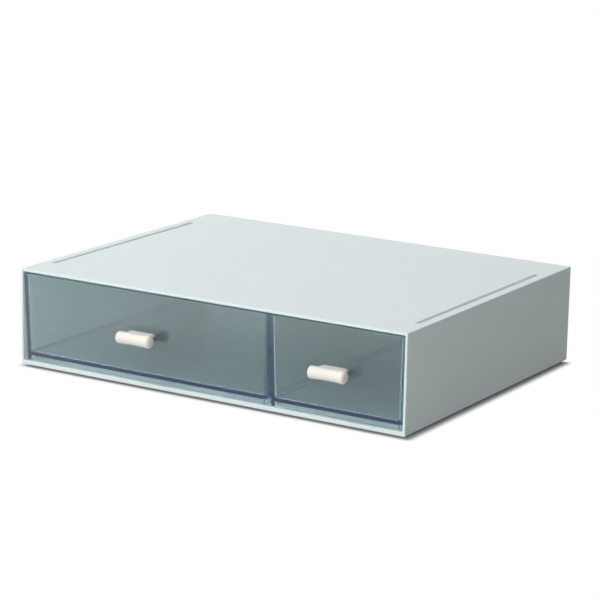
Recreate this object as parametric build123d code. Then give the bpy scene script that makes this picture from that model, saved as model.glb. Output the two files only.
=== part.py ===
from build123d import *
import math
import os

# Desktop drawer organizer: an open-fronted case that holds a wide and a narrow clear drawer side by side.
# Millimetres, +X to the right, +Y to the back, +Z up. The origin lies on the standing surface, under the
# middle of the whole object, handles included.

# Case shell
CASE_WIDTH = 300.0
CASE_DEPTH = 230.0
CASE_HEIGHT = 66.5
SIDE_WALL = 1.7
TOP_WALL = 1.8
BOTTOM_WALL = 2.8
CASE_EDGE_RADIUS = 0.6
CASE_INNER_RADIUS = 1.5
RIM_RADIUS = 0.35

# Stacking grooves in the top, and the ribs underneath that drop into the grooves of a case below
GROOVE_INSET = 8.0
GROOVE_WIDTH = 3.6
GROOVE_DEPTH = 2.2
GROOVE_FRONT_MARGIN = 26.0
GROOVE_BACK_MARGIN = 34.0
GROOVE_WALL = 1.2
STACK_CLEARANCE = 0.4
STACK_RIB_RADIUS = 0.4

# Back panel, let into a rebate and held by snap hooks behind catches in the case
BACK_THICKNESS = 2.0
REBATE_LAP = 1.0
PANEL_CLEARANCE = 0.15
PANEL_EDGE_RADIUS = 0.4
HOOK_SPACING = 100.0
HOOK_WIDTH = 10.0
HOOK_LENGTH = 8.0
HOOK_THICKNESS = 1.5
HOOK_CLEARANCE = 0.2
BARB_GAP = 0.3
CATCH_WIDTH = 14.0
CATCH_LENGTH = 1.6
CATCH_HEIGHT = 1.0
CATCH_SETBACK = 2.6
STOP_RIB_EXTRA = 1.0
STOP_RIB_THICKNESS = 2.0
STOP_RIB_INSET = 20.0
STOP_RIB_END_GAP = 8.0

# Drawer trays: moulded boxes whose four walls lean outwards to the top
LEFT_DRAWER_WIDTH = 195.8
SIDE_CLEARANCE = 0.3
SIDE_PLAY = 0.6
MIDDLE_GAP = 0.6
TOP_CLEARANCE = 1.2
RUN_CLEARANCE = 0.3
FRONT_SETBACK = 0.3
STOP_CLEARANCE = 0.3
BEAD_CLEARANCE = 1.5
DRAFT_ANGLE = 1.6
TRAY_WALL = 2.0
TRAY_FLOOR = 2.2
SKID_HEIGHT = 3.0
SKIRT_LIFT = 0.75
POCKET_CORNER_RADIUS = 1.6
TRAY_CORNER_RADIUS = 1.0
CAVITY_FLOOR_RADIUS = 1.4
CAVITY_CORNER_EXTRA = 0.4
FRONT_TOP_RADIUS = 0.7
FRONT_RETURN = 3.0

# Low divider on the case floor that guides the trays between it and the case's sides
DIVIDER_HEIGHT = 4.0
DIVIDER_CLEARANCE = 0.7
DIVIDER_SETBACK = 8.0
DIVIDER_END_GAP = 3.0

# Opening stop: a tab on each tray's back wall meets a rib under the case's ceiling
HELD_LENGTH = 51.4
OPEN_STOP_THICKNESS = 2.0
OPEN_STOP_WIDTH = 18.0
OPEN_STOP_CLEARANCE = 0.8
TAB_WIDTH = 14.0

# Handles, a little above the middle of the fronts: a slightly waisted round bar on a stem, with a wider
# plate along the stem's top that turns down at its ends
HANDLE_RAISE = 0.45
BAR_LENGTH = 26.5
BAR_DIAMETER = 8.5
BAR_WAIST_DIAMETER = 7.7
BAR_END_RADIUS = 1.8
BAR_STANDOFF = 9.0
STEM_WIDTH = 15.5
STEM_DROP = 2.75
PLATE_WIDTH = 19.8
PLATE_RISE = 3.1
PLATE_THICKNESS = 0.9
PLATE_CORNER_RADIUS = 1.5
PLATE_LIP = 1.9

# Handle screws, driven from inside the drawer
SCREW_SPACING = 8.0
SCREW_DIAMETER = 2.5
SCREW_LENGTH = 8.0
SCREW_HEAD_DIAMETER = 4.8
SCREW_HEAD_HEIGHT = 1.6
SCREW_HEAD_RADIUS = 0.6
SCREW_HOLE_CLEARANCE = 0.4
PILOT_CLEARANCE = 0.1
PILOT_SPARE = 0.8
RECESS_LENGTH = 2.6
RECESS_WIDTH = 0.7
RECESS_DEPTH = 0.9

# How far a cutting body runs past the surface that it cuts
OVERCUT = 5.0

# Heights
CASE_BOTTOM = GROOVE_DEPTH - STACK_CLEARANCE
CASE_TOP = CASE_BOTTOM + CASE_HEIGHT
CASE_FLOOR = CASE_BOTTOM + BOTTOM_WALL
CEILING = CASE_TOP - TOP_WALL
BEAD_BOTTOM = CASE_TOP - GROOVE_DEPTH - GROOVE_WALL
TRAY_BOTTOM = CASE_FLOOR + RUN_CLEARANCE
TRAY_UNDERSIDE = TRAY_BOTTOM + SKID_HEIGHT
TRAY_INSIDE = TRAY_UNDERSIDE + TRAY_FLOOR
FRONT_TOP = CEILING - TOP_CLEARANCE
WALL_TOP = BEAD_BOTTOM - BEAD_CLEARANCE
OPEN_STOP_LOW = WALL_TOP + OPEN_STOP_CLEARANCE
DIVIDER_TOP = CASE_FLOOR + DIVIDER_HEIGHT
HANDLE_HEIGHT = (TRAY_BOTTOM + FRONT_TOP) / 2 + HANDLE_RAISE

# The tray front leans, so the handles are built square to it
DRAFT_SLOPE = math.tan(math.radians(DRAFT_ANGLE))
DRAFT_COSINE = math.cos(math.radians(DRAFT_ANGLE))
DRAFT_SINE = math.sin(math.radians(DRAFT_ANGLE))
FRONT_RECESS = FRONT_SETBACK + (FRONT_TOP - HANDLE_HEIGHT) * DRAFT_SLOPE
HANDLE_REACH = BAR_STANDOFF * DRAFT_COSINE + BAR_DIAMETER / 2 - FRONT_RECESS
FRONT_WALL_NORMAL = TRAY_WALL * DRAFT_COSINE

# Depths
CASE_FRONT = (HANDLE_REACH - CASE_DEPTH) / 2
CASE_BACK = CASE_FRONT + CASE_DEPTH
PANEL_FACE = CASE_BACK - BACK_THICKNESS
TRAY_FRONT = CASE_FRONT + FRONT_SETBACK
TRAY_BACK = PANEL_FACE - HOOK_LENGTH - STOP_RIB_EXTRA - STOP_CLEARANCE
OPEN_STOP_BACK = CASE_FRONT + HELD_LENGTH
TRAVEL = TRAY_BACK - TRAY_WALL - STOP_CLEARANCE - OPEN_STOP_BACK

# Widths, and each drawer's left and right limit at its top
BAY_WIDTH = CASE_WIDTH - 2 * SIDE_WALL
LEFT_START = -BAY_WIDTH / 2 + SIDE_CLEARANCE
LEFT_END = LEFT_START + LEFT_DRAWER_WIDTH
RIGHT_START = LEFT_END + MIDDLE_GAP
RIGHT_END = BAY_WIDTH / 2 - SIDE_CLEARANCE - SIDE_PLAY
DRAWERS = {"left": (LEFT_START, LEFT_END), "right": (RIGHT_START, RIGHT_END)}
DIVIDER_THICKNESS = MIDDLE_GAP + 2 * (FRONT_TOP - DIVIDER_TOP) * DRAFT_SLOPE - 2 * DIVIDER_CLEARANCE


def block(left, right, front, back, low, high):
    """Box between the given limits."""
    middle = ((left + right) / 2, (front + back) / 2, (low + high) / 2)
    return Pos(*middle) * Box(right - left, back - front, high - low)


def centred_block(middle, width, front, back, low, high):
    """Box of a given width about a middle line."""
    return block(middle - width / 2, middle + width / 2, front, back, low, high)


def drafted_block(left, right, front, back, low, high):
    """Block with the given outline at the front's top edge that narrows downwards by the draft."""
    sections = []
    for level in (low, high):
        inset = (FRONT_TOP - level) * DRAFT_SLOPE
        outline = Rectangle(right - left - 2 * inset, back - front - 2 * inset)
        sections.append(Pos((left + right) / 2, (front + back) / 2, level) * outline)
    return loft(sections, ruled=True)


def upright_edges(solid):
    """The edges that run from the bottom of a solid to its top."""
    height = solid.bounding_box().size.Z
    return solid.edges().filter_by(lambda edge: edge.bounding_box().size.Z > height / 2)


def profile_bar(points, middle, width):
    """Bar along X with a profile given as (y, z) points."""
    face = make_face(Polyline(*[(0, y, z) for y, z in points], close=True))
    return Pos(middle - width / 2, 0, 0) * extrude(face, width, dir=(1, 0, 0))


def drawer_middle(limits):
    """Middle line of a drawer."""
    return (limits[0] + limits[1]) / 2


def both_heights(solid):
    """A solid by the ceiling and its mirror image by the floor."""
    return solid + mirror(solid, about=Plane.XY.offset((CASE_FLOOR + CEILING) / 2))


def hook_places():
    """Where the snap hooks sit across the case."""
    return [-HOOK_SPACING, 0, HOOK_SPACING]


def front_plane(limits):
    """Plane on a tray's leaning front at the handle, with its normal pointing out."""
    origin = (drawer_middle(limits), CASE_FRONT + FRONT_RECESS, HANDLE_HEIGHT)
    return Plane(origin=origin, x_dir=(1, 0, 0), z_dir=(0, -DRAFT_COSINE, -DRAFT_SINE))


def screw_places():
    """Where the handle screws sit along the stem."""
    return [-SCREW_SPACING / 2, SCREW_SPACING / 2]


def make_case_shell():
    """Sleeve open at front and back, with grooves, ribs, a divider, catches and opening stops."""
    outline = RectangleRounded(CASE_WIDTH, CASE_HEIGHT, CASE_EDGE_RADIUS)
    opening = Rectangle(BAY_WIDTH, CEILING - CASE_FLOOR)
    opening = fillet(opening.vertices().group_by(Axis.Y)[0], CASE_INNER_RADIUS)
    profile = Pos(0, (CASE_BOTTOM + CASE_TOP) / 2) * outline
    profile -= Pos(0, (CASE_FLOOR + CEILING) / 2) * opening
    shell = extrude(Plane.XZ.offset(-CASE_BACK) * profile, CASE_DEPTH)
    shell = fillet(shell.faces().sort_by(Axis.Y)[0].edges(), RIM_RADIUS)

    rebate = (PANEL_FACE, CASE_BACK + OVERCUT, CASE_FLOOR - REBATE_LAP, CEILING + REBATE_LAP)
    shell -= centred_block(0, BAY_WIDTH + 2 * REBATE_LAP, *rebate)
    shell = add_stacking(shell)
    shell = add_divider(shell)
    return add_catches_and_stops(shell)


def add_stacking(shell):
    """Two closed grooves in the top with beads below them, and two matching ribs underneath."""
    front = CASE_FRONT + GROOVE_FRONT_MARGIN
    back = CASE_BACK - GROOVE_BACK_MARGIN
    for side in (-1, 1):
        middle = side * (CASE_WIDTH / 2 - GROOVE_INSET)
        bead_width = GROOVE_WIDTH + 2 * GROOVE_WALL
        shell += centred_block(middle, bead_width, front - GROOVE_WALL, back + GROOVE_WALL,
                               BEAD_BOTTOM, CEILING + TOP_WALL / 2)
        shell -= centred_block(middle, GROOVE_WIDTH, front, back, CASE_TOP - GROOVE_DEPTH, CASE_TOP + OVERCUT)
        rib = centred_block(middle, GROOVE_WIDTH - 2 * STACK_CLEARANCE, front + STACK_CLEARANCE,
                            back - STACK_CLEARANCE, 0, CASE_BOTTOM + BOTTOM_WALL / 2)
        shell += fillet(rib.faces().sort_by(Axis.Z)[0].edges(), STACK_RIB_RADIUS)
    return shell


def add_divider(shell):
    """A low divider on the floor, between the leaning walls of the two trays."""
    middle = (LEFT_END + RIGHT_START) / 2
    sunk = CASE_FLOOR - BOTTOM_WALL / 2
    return shell + centred_block(middle, DIVIDER_THICKNESS, CASE_FRONT + DIVIDER_SETBACK,
                                 TRAY_BACK - DIVIDER_END_GAP, sunk, DIVIDER_TOP)


def add_catches_and_stops(shell):
    """Catches for the back panel's hooks, and the ribs under the ceiling that stop the opening trays."""
    sunk = CEILING + TOP_WALL / 2
    catch_back = PANEL_FACE - CATCH_SETBACK
    for place in hook_places():
        catch = centred_block(place, CATCH_WIDTH, catch_back - CATCH_LENGTH, catch_back,
                              CEILING - CATCH_HEIGHT, sunk)
        shell += both_heights(catch)
    for limits in DRAWERS.values():
        shell += centred_block(drawer_middle(limits), OPEN_STOP_WIDTH, OPEN_STOP_BACK - OPEN_STOP_THICKNESS,
                               OPEN_STOP_BACK, OPEN_STOP_LOW, sunk)
    return shell


def make_back_panel():
    """Plate in the rear rebate, with snap hooks above and below and ribs that the trays stop on."""
    lap = REBATE_LAP - PANEL_CLEARANCE
    panel = centred_block(0, BAY_WIDTH + 2 * lap, PANEL_FACE, CASE_BACK, CASE_FLOOR - lap, CEILING + lap)
    panel = fillet(panel.faces().sort_by(Axis.Y)[-1].edges(), PANEL_EDGE_RADIUS)

    beam_top = CEILING - CATCH_HEIGHT - HOOK_CLEARANCE
    tip = PANEL_FACE - HOOK_LENGTH
    barb_back = PANEL_FACE - CATCH_SETBACK - CATCH_LENGTH - HOOK_CLEARANCE
    rooted = PANEL_FACE + BACK_THICKNESS / 2
    hook = [(rooted, beam_top - HOOK_THICKNESS), (rooted, beam_top), (barb_back, beam_top),
            (barb_back, CEILING - BARB_GAP), (tip, beam_top), (tip, beam_top - HOOK_THICKNESS)]
    for place in hook_places():
        panel += both_heights(profile_bar(hook, place, HOOK_WIDTH))

    low = TRAY_INSIDE + STOP_RIB_END_GAP
    high = WALL_TOP - STOP_RIB_END_GAP
    rib = [(rooted, low), (rooted, high), (stop_face(high), high), (stop_face(low), low)]
    for left, right in DRAWERS.values():
        for place in (left + STOP_RIB_INSET, right - STOP_RIB_INSET):
            panel += profile_bar(rib, place, STOP_RIB_THICKNESS)
    return panel


def stop_face(level):
    """Where a stop rib ends at a height, just clear of the tray's leaning back."""
    return TRAY_BACK - (FRONT_TOP - level) * DRAFT_SLOPE + STOP_CLEARANCE


def make_tray(limits):
    """Clear tray: drafted walls, a raised floor between skids, a taller front whose skirt clears the case
    floor, and a stop tab at the back."""
    left, right = limits
    middle = drawer_middle(limits)
    tray = drafted_block(left, right, TRAY_FRONT, TRAY_BACK, TRAY_BOTTOM, FRONT_TOP)
    tray = fillet(upright_edges(tray), TRAY_CORNER_RADIUS)
    top_front = tray.edges().group_by(Axis.Z)[-1].sort_by(Axis.Y)[0]
    tray = fillet(top_front, FRONT_TOP_RADIUS)

    inside = (left + TRAY_WALL, right - TRAY_WALL, TRAY_FRONT + TRAY_WALL, TRAY_BACK - TRAY_WALL)
    cavity = drafted_block(*inside, TRAY_INSIDE, FRONT_TOP + OVERCUT)
    cavity = fillet(upright_edges(cavity), CAVITY_FLOOR_RADIUS + CAVITY_CORNER_EXTRA)
    cavity = fillet(cavity.faces().sort_by(Axis.Z)[0].edges(), CAVITY_FLOOR_RADIUS)
    tray -= cavity
    pocket = drafted_block(*inside[:3], TRAY_BACK + OVERCUT, TRAY_BOTTOM - OVERCUT, TRAY_UNDERSIDE)
    tray -= fillet(upright_edges(pocket), POCKET_CORNER_RADIUS)
    tray -= drafted_block(*inside[:2], TRAY_FRONT - OVERCUT, TRAY_FRONT + TRAY_WALL + POCKET_CORNER_RADIUS,
                          TRAY_BOTTOM - OVERCUT, TRAY_BOTTOM + SKIRT_LIFT)

    step = TRAY_FRONT + TRAY_WALL + FRONT_RETURN
    lowered = (step, TRAY_BACK + OVERCUT, WALL_TOP, FRONT_TOP + OVERCUT)
    tray -= block(left - OVERCUT, middle - TAB_WIDTH / 2, *lowered)
    tray -= block(middle + TAB_WIDTH / 2, right + OVERCUT, *lowered)

    plane = front_plane(limits)
    for place in screw_places():
        hole = Cylinder((SCREW_DIAMETER + SCREW_HOLE_CLEARANCE) / 2, 2 * (TRAY_WALL + OVERCUT))
        tray -= plane * Pos(place, 0, 0) * hole
    return tray


def make_bar():
    """Round bar along X with rounded ends, drawn in a little at the middle."""
    half = BAR_LENGTH / 2
    radius = BAR_DIAMETER / 2
    shoulder = half - BAR_END_RADIUS
    level = radius - BAR_END_RADIUS
    waist_pull = BAR_WAIST_DIAMETER - radius
    outline = Line((-half, 0), (-half, level))
    outline += CenterArc((-shoulder, level), BAR_END_RADIUS, 180, -90)
    outline += Bezier((-shoulder, radius), (0, waist_pull), (shoulder, radius))
    outline += CenterArc((shoulder, level), BAR_END_RADIUS, 90, -90)
    outline += Polyline((half, level), (half, 0), (-half, 0))
    return revolve(make_face(outline), Axis.X)


def rounded_top(width, height, radius):
    """Rectangle below the X axis whose two top corners are rounded."""
    outline = Pos(0, -height / 2) * Rectangle(width, height)
    return fillet(outline.vertices().group_by(Axis.Y)[-1], radius)


def make_handle(limits):
    """Bar along the drawer on a stem that sits flat on the tray's front, with the plate along its top."""
    plate = rounded_top(PLATE_WIDTH, PLATE_LIP, PLATE_CORNER_RADIUS)
    plate -= Pos(0, -PLATE_THICKNESS) * rounded_top(PLATE_WIDTH - 2 * PLATE_THICKNESS, PLATE_LIP,
                                                    PLATE_CORNER_RADIUS - PLATE_THICKNESS)
    stem = Pos(0, (PLATE_RISE - STEM_DROP) / 2) * Rectangle(STEM_WIDTH, PLATE_RISE + STEM_DROP)
    stem += Pos(0, PLATE_RISE) * plate
    handle = extrude(stem, BAR_STANDOFF) + Pos(0, 0, BAR_STANDOFF) * make_bar()
    pilot_depth = SCREW_LENGTH - FRONT_WALL_NORMAL + PILOT_SPARE
    for place in screw_places():
        pilot = Cylinder((SCREW_DIAMETER + PILOT_CLEARANCE) / 2, 2 * pilot_depth)
        handle -= Pos(place, 0, 0) * pilot
    return front_plane(limits) * handle


def make_handle_screws(limits):
    """Two pan-head screws through the tray's front into the stem, heads inside the drawer."""
    head = extrude(Circle(SCREW_HEAD_DIAMETER / 2), -SCREW_HEAD_HEIGHT)
    head = fillet(head.faces().sort_by(Axis.Z)[0].edges(), SCREW_HEAD_RADIUS)
    screw = head + extrude(Circle(SCREW_DIAMETER / 2), SCREW_LENGTH)
    for turn in (0, 90):
        slot = Box(RECESS_LENGTH, RECESS_WIDTH, 2 * RECESS_DEPTH)
        screw -= Pos(0, 0, -SCREW_HEAD_HEIGHT) * Rot(0, 0, turn) * slot
    plane = front_plane(limits)
    return Compound([plane * Pos(place, 0, -FRONT_WALL_NORMAL) * screw for place in screw_places()])


nodes = {"case_shell": make_case_shell(), "back_panel": make_back_panel()}
for side_name, drawer_limits in DRAWERS.items():
    nodes[side_name + "_drawer_tray"] = make_tray(drawer_limits)
    nodes[side_name + "_handle"] = make_handle(drawer_limits)
    nodes[side_name + "_handle_screws"] = make_handle_screws(drawer_limits)

os.makedirs("parts", exist_ok=True)
for node_name, node in nodes.items():
    export_step(node, "parts/" + node_name + ".step")
print("drawer travel", round(TRAVEL, 2), "case front", round(CASE_FRONT, 3), "case top", round(CASE_TOP, 2))
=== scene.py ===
import math

import bpy
from mathutils import Matrix, Vector

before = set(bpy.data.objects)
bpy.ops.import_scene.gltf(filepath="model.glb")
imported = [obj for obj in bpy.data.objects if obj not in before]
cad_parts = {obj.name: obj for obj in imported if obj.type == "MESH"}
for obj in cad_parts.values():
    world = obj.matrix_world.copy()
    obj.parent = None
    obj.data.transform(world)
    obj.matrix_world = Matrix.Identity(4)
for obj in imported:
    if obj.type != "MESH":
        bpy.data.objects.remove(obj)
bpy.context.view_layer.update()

# Camera, in metres and degrees, from the perspective of the case's edges in the photograph
CAMERA_PLACE = (0.8641, -1.4036, 0.4455)
CAMERA_YAW = 31.467
CAMERA_PITCH = 13.603
CAMERA_ROLL = 1.187
CAMERA_LENS = 148.77
SENSOR_WIDTH = 36.0
FARTHEST_VIEW = 100.0

# Lamps: the side that each shines from, its distance, its size and its power
LAMPS = {
    "above": ((-0.50, 0.0, 0.85), 2.0, 1.6, 27.5),
    "right": ((0.30, -0.93, 0.20), 2.0, 0.7, 23.0),
    "left": ((-0.80, -0.55, 0.20), 2.0, 0.7, 17.0),
}
SKY_STRENGTH = 0.29
WHITE = (1.0, 1.0, 1.0, 1.0)

# Floor: it keeps the shadow in a box around the case, given by its middle and half sizes, and turns white
# past the box. In gloss it turns white past an oval around the object.
FLOOR_SIZE = 12.0
FLOOR_GREY = (0.35, 0.35, 0.35, 1.0)
# The floor is grey only inside this box. It shows the real contact shadow, and the grey deepens it as
# painted shade along the case's foot
SHADOW_TONE = (0.60, 0.60, 0.60, 1.0)
SHADOW_MIDDLE = (0.0, 0.006, 0.0)
SHADOW_BOX = (0.150, 0.112, 0.0)
SHADOW_REACH = (0.0, 0.0065)
# In gloss the floor glows white past this oval, which is set off to the right. This is a painted reflection
# that makes the drawer fronts mirror brighter towards the left
GLOSS_MIDDLE = (0.25, 0.05, 0.0)
GLOSS_SPREAD = (0.35, 0.32, 1.0)
GLOSS_REACH = (0.95, 1.50)

# Light bounces: the clear trays inside the case pass light through many surfaces
MOST_BOUNCES = 40
MATTE_BOUNCES = 8

# Moulded plastics: linear colours, then roughness, grain size and grain height
CASE_COLOUR = (0.660, 0.735, 0.735, 1.0)
CASE_FINISH = (0.60, 0.0005, 0.00004)
HANDLE_COLOUR = (0.76, 0.735, 0.68, 1.0)
HANDLE_FINISH = (0.50, 0.0008, 0.00003)
PLASTIC_IOR = 1.5
PLASTIC_SCATTER = 0.0005
TONE_SCALE = 14.0
TONE_SPREAD = 0.012
SHEEN_SCALE = 60.0
SHEEN_SPREAD = 0.04
GRAIN_DETAIL = 3.0
BUMP_STRENGTH = 0.5

# Clear plastic: the colour of one wall, and the blue that builds up along its depth
CLEAR_IOR = 1.56
CLEAR_SHARE = 0.97
COAT_IOR = 1.4
COAT_ROUGHNESS = 0.02
CLEAR_COLOUR = (0.875, 0.968, 0.90, 1.0)
CLEAR_TINT = (0.05, 0.40, 0.99, 1.0)
CLEAR_SHADOW = (0.72, 0.755, 0.76, 1.0)
CLEAR_DENSITY = 40.0
CLEAR_SCATTER = 8.0
HAZE = (0.08, 0.13)
HAZE_SCALE = 25.0
RIPPLE_SCALE = 40.0
RIPPLE_HEIGHT = 0.00002

# Dust on the clear plastic
SPECK_COLOUR = (0.95, 0.95, 0.92, 1.0)
SPECK_SPACING = 0.0025
SPECK_RADIUS = 0.00045
SPECK_SHARE = 0.03
SPECK_ROUGHNESS = 0.45

# Screw steel
STEEL_COLOUR = (0.60, 0.60, 0.61, 1.0)
STEEL_ROUGHNESS = (0.25, 0.42)
STEEL_SCALE = 900.0

# The part of a noise's range that most of it fills
NOISE_LOW = 0.3
NOISE_HIGH = 0.7


def new_material(name):
    """Material with an empty node tree and an output."""
    material = bpy.data.materials.new(name)
    material.use_nodes = True
    material.node_tree.nodes.clear()
    output = material.node_tree.nodes.new("ShaderNodeOutputMaterial")
    return material, material.node_tree, output


def add(tree, kind, **values):
    """Add a shader node and set its sockets by name, with _ for a space."""
    made = tree.nodes.new(kind)
    for name, value in values.items():
        made.inputs[name.replace("_", " ")].default_value = value
    return made


def math_node(tree, operation, first, second):
    """Maths on two sockets or numbers."""
    made = tree.nodes.new("ShaderNodeMath")
    made.operation = operation
    for socket, value in zip(made.inputs, (first, second)):
        if isinstance(value, float):
            socket.default_value = value
        else:
            tree.links.new(value, socket)
    return made.outputs["Value"]


def vector_node(tree, operation, first, second=None):
    """Maths on a vector socket and a fixed vector."""
    made = tree.nodes.new("ShaderNodeVectorMath")
    made.operation = operation
    tree.links.new(first, made.inputs[0])
    if second is not None:
        made.inputs[1].default_value = second
    return made.outputs["Value" if operation == "LENGTH" else "Vector"]


def mixed(tree, share, first, second):
    """Shader that goes from the first to the second as the share goes from 0 to 1."""
    mix = tree.nodes.new("ShaderNodeMixShader")
    tree.links.new(share, mix.inputs["Fac"])
    tree.links.new(first, mix.inputs[1])
    tree.links.new(second, mix.inputs[2])
    return mix.outputs["Shader"]


def two_colours(tree, share, first, second):
    """Colour that goes from the first to the second as the share goes from 0 to 1."""
    ramp = tree.nodes.new("ShaderNodeValToRGB")
    for element, colour in zip(ramp.color_ramp.elements, (first, second)):
        element.color = colour
    tree.links.new(share, ramp.inputs["Fac"])
    return ramp.outputs["Color"]


def tinted(tree, source, colour, spread):
    """Colour that varies a little about its own tone."""
    darker, lighter = [tuple(channel * factor for channel in colour[:3]) + (1.0,)
                       for factor in (1.0 - spread, 1.0 + spread)]
    return two_colours(tree, source, darker, lighter)


def own_place(tree):
    """A point's place in the object's own metres."""
    return tree.nodes.new("ShaderNodeTexCoord").outputs["Object"]


def noise(tree, scale, detail=2.0):
    """Noise with a number of waves to the metre."""
    made = add(tree, "ShaderNodeTexNoise", Scale=scale, Detail=detail)
    tree.links.new(own_place(tree), made.inputs["Vector"])
    return made.outputs["Fac"]


def ranged(tree, source, low, high):
    """Map a noise to a range."""
    made = add(tree, "ShaderNodeMapRange", From_Min=NOISE_LOW, From_Max=NOISE_HIGH, To_Min=low, To_Max=high)
    tree.links.new(source, made.inputs["Value"])
    return made.outputs["Result"]


def faded(tree, distance, reach):
    """0 up to the start of a reach, 1 past its end, and smooth between them."""
    made = add(tree, "ShaderNodeMapRange", From_Min=reach[0], From_Max=reach[1])
    made.interpolation_type = "SMOOTHSTEP"
    tree.links.new(distance, made.inputs["Value"])
    return made.outputs["Result"]


def bumped(tree, source, height):
    """Bump from a height pattern, in metres."""
    made = add(tree, "ShaderNodeBump", Strength=BUMP_STRENGTH, Distance=height)
    tree.links.new(source, made.inputs["Height"])
    return made.outputs["Normal"]


def moulded_plastic(name, colour, finish):
    """Opaque moulded plastic with a fine grain and faint broad variation."""
    rough, grain_size, grain_height = finish
    material, tree, output = new_material(name)
    shader = add(tree, "ShaderNodeBsdfPrincipled", IOR=PLASTIC_IOR, Subsurface_Weight=1.0,
                 Subsurface_Radius=(1, 1, 1), Subsurface_Scale=PLASTIC_SCATTER)
    tone = tinted(tree, noise(tree, TONE_SCALE), colour, TONE_SPREAD)
    tree.links.new(tone, shader.inputs["Base Color"])
    sheen = ranged(tree, noise(tree, SHEEN_SCALE), rough - SHEEN_SPREAD, rough + SHEEN_SPREAD)
    tree.links.new(sheen, shader.inputs["Roughness"])
    grain = noise(tree, 1.0 / grain_size, GRAIN_DETAIL)
    tree.links.new(bumped(tree, grain, grain_height), shader.inputs["Normal"])
    tree.links.new(shader.outputs["BSDF"], output.inputs["Surface"])
    return material


def specks(tree):
    """1 on a few scattered specks of dust, 0 elsewhere."""
    cells = add(tree, "ShaderNodeTexVoronoi", Scale=1.0 / SPECK_SPACING)
    tree.links.new(own_place(tree), cells.inputs["Vector"])
    near = math_node(tree, "LESS_THAN", cells.outputs["Distance"], SPECK_RADIUS / SPECK_SPACING)
    draw = tree.nodes.new("ShaderNodeSeparateColor")
    tree.links.new(cells.outputs["Color"], draw.inputs["Color"])
    chosen = math_node(tree, "LESS_THAN", draw.outputs["Red"], SPECK_SHARE)
    return math_node(tree, "MULTIPLY", near, chosen)


def clear_plastic():
    """Clear plastic, glossy outside and slightly hazy, with a blue depth and a little dust. Lamps shine
    through it."""
    material, tree, output = new_material("clear_plastic")
    shader = add(tree, "ShaderNodeBsdfPrincipled", IOR=CLEAR_IOR, Transmission_Weight=CLEAR_SHARE,
                 Coat_Weight=1.0, Coat_IOR=COAT_IOR, Coat_Roughness=COAT_ROUGHNESS)
    dust = specks(tree)
    colour = two_colours(tree, dust, CLEAR_COLOUR, SPECK_COLOUR)
    tree.links.new(colour, shader.inputs["Base Color"])
    rough_specks = math_node(tree, "MULTIPLY", dust, SPECK_ROUGHNESS)
    rough = math_node(tree, "MAXIMUM", ranged(tree, noise(tree, HAZE_SCALE), *HAZE), rough_specks)
    tree.links.new(rough, shader.inputs["Roughness"])
    tree.links.new(bumped(tree, noise(tree, RIPPLE_SCALE), RIPPLE_HEIGHT), shader.inputs["Normal"])
    see_through = add(tree, "ShaderNodeBsdfTransparent", Color=CLEAR_SHADOW)
    path = tree.nodes.new("ShaderNodeLightPath")
    surface = mixed(tree, path.outputs["Is Shadow Ray"], shader.outputs["BSDF"], see_through.outputs["BSDF"])
    tree.links.new(surface, output.inputs["Surface"])
    depth = add(tree, "ShaderNodeVolumeAbsorption", Color=CLEAR_TINT, Density=CLEAR_DENSITY)
    cloud = add(tree, "ShaderNodeVolumeScatter", Density=CLEAR_SCATTER)
    inside = tree.nodes.new("ShaderNodeAddShader")
    tree.links.new(depth.outputs["Volume"], inside.inputs[0])
    tree.links.new(cloud.outputs["Volume"], inside.inputs[1])
    tree.links.new(inside.outputs["Shader"], output.inputs["Volume"])
    return material


def steel():
    """Zinc-plated screw steel."""
    material, tree, output = new_material("screw_steel")
    shader = add(tree, "ShaderNodeBsdfPrincipled", Base_Color=STEEL_COLOUR, Metallic=1.0)
    rough = ranged(tree, noise(tree, STEEL_SCALE), *STEEL_ROUGHNESS)
    tree.links.new(rough, shader.inputs["Roughness"])
    tree.links.new(shader.outputs["BSDF"], output.inputs["Surface"])
    return material


def dress(material, *names):
    """Give CAD nodes a material."""
    for name in names:
        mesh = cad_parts[name].data
        mesh.materials.clear()
        mesh.materials.append(material)


def looked_at(tree):
    """Two sockets: 1 for rays from the camera or through clear pieces, and 1 for rays seen in gloss."""
    path = tree.nodes.new("ShaderNodeLightPath")
    straight = math_node(tree, "MAXIMUM", path.outputs["Is Camera Ray"], path.outputs["Is Transmission Ray"])
    return straight, path.outputs["Is Glossy Ray"]


def floor_material():
    """Grey as a lit surface, and white where it is seen away from the object's shadow."""
    material, tree, output = new_material("floor_white")
    straight, gloss = looked_at(tree)
    lit = tree.nodes.new("ShaderNodeBsdfDiffuse")
    # Camera rays see SHADOW_TONE grey inside the box: real contact shadow, deepened by the grey as painted
    # shade
    tree.links.new(two_colours(tree, straight, FLOOR_GREY, SHADOW_TONE), lit.inputs["Color"])
    white = add(tree, "ShaderNodeEmission", Color=WHITE, Strength=1.0)
    place = tree.nodes.new("ShaderNodeNewGeometry").outputs["Position"]
    from_case = vector_node(tree, "SUBTRACT", place, SHADOW_MIDDLE)
    outside = vector_node(tree, "SUBTRACT", vector_node(tree, "ABSOLUTE", from_case), SHADOW_BOX)
    outside = vector_node(tree, "LENGTH", vector_node(tree, "MAXIMUM", outside, (0, 0, 0)))
    from_middle = vector_node(tree, "SUBTRACT", place, GLOSS_MIDDLE)
    oval = vector_node(tree, "LENGTH", vector_node(tree, "DIVIDE", from_middle, GLOSS_SPREAD))
    shown = math_node(tree, "MULTIPLY", faded(tree, outside, SHADOW_REACH), straight)
    # Painted reflection: gloss rays see a white glow past the oval and the grey lit floor inside it
    mirrored = math_node(tree, "MULTIPLY", faded(tree, oval, GLOSS_REACH), gloss)
    share = math_node(tree, "MAXIMUM", shown, mirrored)
    surface = mixed(tree, share, lit.outputs["BSDF"], white.outputs["Emission"])
    tree.links.new(surface, output.inputs["Surface"])
    return material


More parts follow.
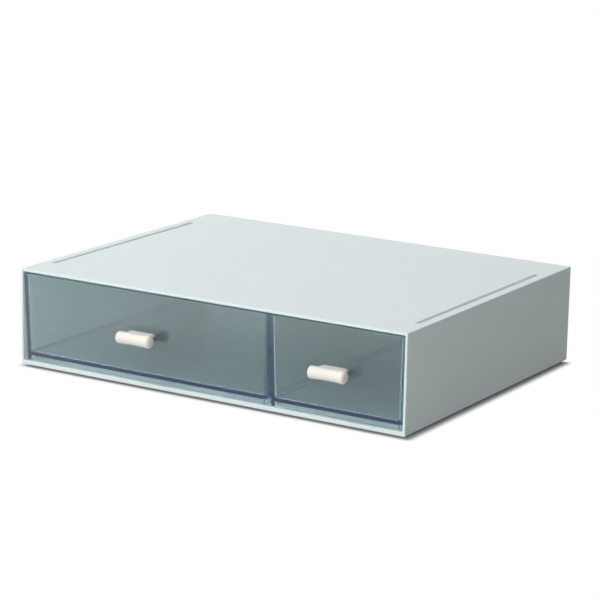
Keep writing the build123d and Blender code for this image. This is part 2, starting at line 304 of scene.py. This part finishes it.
def add_floor():
    """Square floor under the object."""
    mesh = bpy.data.meshes.new("floor")
    half = FLOOR_SIZE / 2
    corners = [(-half, -half, 0), (half, -half, 0), (half, half, 0), (-half, half, 0)]
    mesh.from_pydata(corners, [], [(0, 1, 2, 3)])
    floor = bpy.data.objects.new("floor", mesh)
    bpy.context.scene.collection.objects.link(floor)
    mesh.materials.append(floor_material())


def add_lamps():
    """Broad lamps that leave no highlights, each facing the object."""
    for name, (side, distance, size, power) in LAMPS.items():
        lamp = bpy.data.lights.new(name, "AREA")
        lamp.energy = power
        lamp.size = size
        holder = bpy.data.objects.new(name, lamp)
        towards = Vector(side).normalized()
        holder.location = towards * distance
        holder.visible_glossy = False
        holder.rotation_mode = "QUATERNION"
        holder.rotation_quaternion = towards.to_track_quat("Z", "Y")
        bpy.context.scene.collection.objects.link(holder)


def add_sky():
    """Even sky that looks white where it is seen."""
    world = bpy.data.worlds.new("studio")
    world.use_nodes = True
    tree = world.node_tree
    tree.nodes.clear()
    dim = add(tree, "ShaderNodeBackground", Color=WHITE, Strength=SKY_STRENGTH)
    white = add(tree, "ShaderNodeBackground", Color=WHITE, Strength=1.0)
    output = tree.nodes.new("ShaderNodeOutputWorld")
    seen = math_node(tree, "MAXIMUM", *looked_at(tree))
    sky = mixed(tree, seen, dim.outputs["Background"], white.outputs["Background"])
    tree.links.new(sky, output.inputs["Surface"])
    bpy.context.scene.world = world


def set_bounces():
    """Let light through all the clear walls."""
    cycles = bpy.context.scene.cycles
    cycles.max_bounces = MOST_BOUNCES
    cycles.transmission_bounces = MOST_BOUNCES
    cycles.transparent_max_bounces = MOST_BOUNCES
    cycles.diffuse_bounces = MATTE_BOUNCES
    cycles.glossy_bounces = MOST_BOUNCES


def add_camera():
    """Camera at the photograph's viewpoint."""
    lens = bpy.data.cameras.new("camera")
    lens.lens = CAMERA_LENS
    lens.sensor_width = SENSOR_WIDTH
    lens.clip_end = FARTHEST_VIEW
    camera = bpy.data.objects.new("camera", lens)
    turn = Matrix.Rotation(math.radians(CAMERA_YAW), 4, "Z")
    tilt = Matrix.Rotation(math.radians(90.0 - CAMERA_PITCH), 4, "X")
    roll = Matrix.Rotation(math.radians(CAMERA_ROLL), 4, "Z")
    camera.matrix_world = Matrix.Translation(CAMERA_PLACE) @ turn @ tilt @ roll
    bpy.context.scene.collection.objects.link(camera)
    bpy.context.scene.camera = camera


dress(moulded_plastic("case_plastic", CASE_COLOUR, CASE_FINISH), "case_shell", "back_panel")
dress(moulded_plastic("handle_plastic", HANDLE_COLOUR, HANDLE_FINISH), "left_handle", "right_handle")
dress(clear_plastic(), "left_drawer_tray", "right_drawer_tray")
dress(steel(), "left_handle_screws", "right_handle_screws")
add_floor()
add_lamps()
add_sky()
add_camera()
set_bounces()
bpy.context.scene.view_settings.view_transform = "Standard"
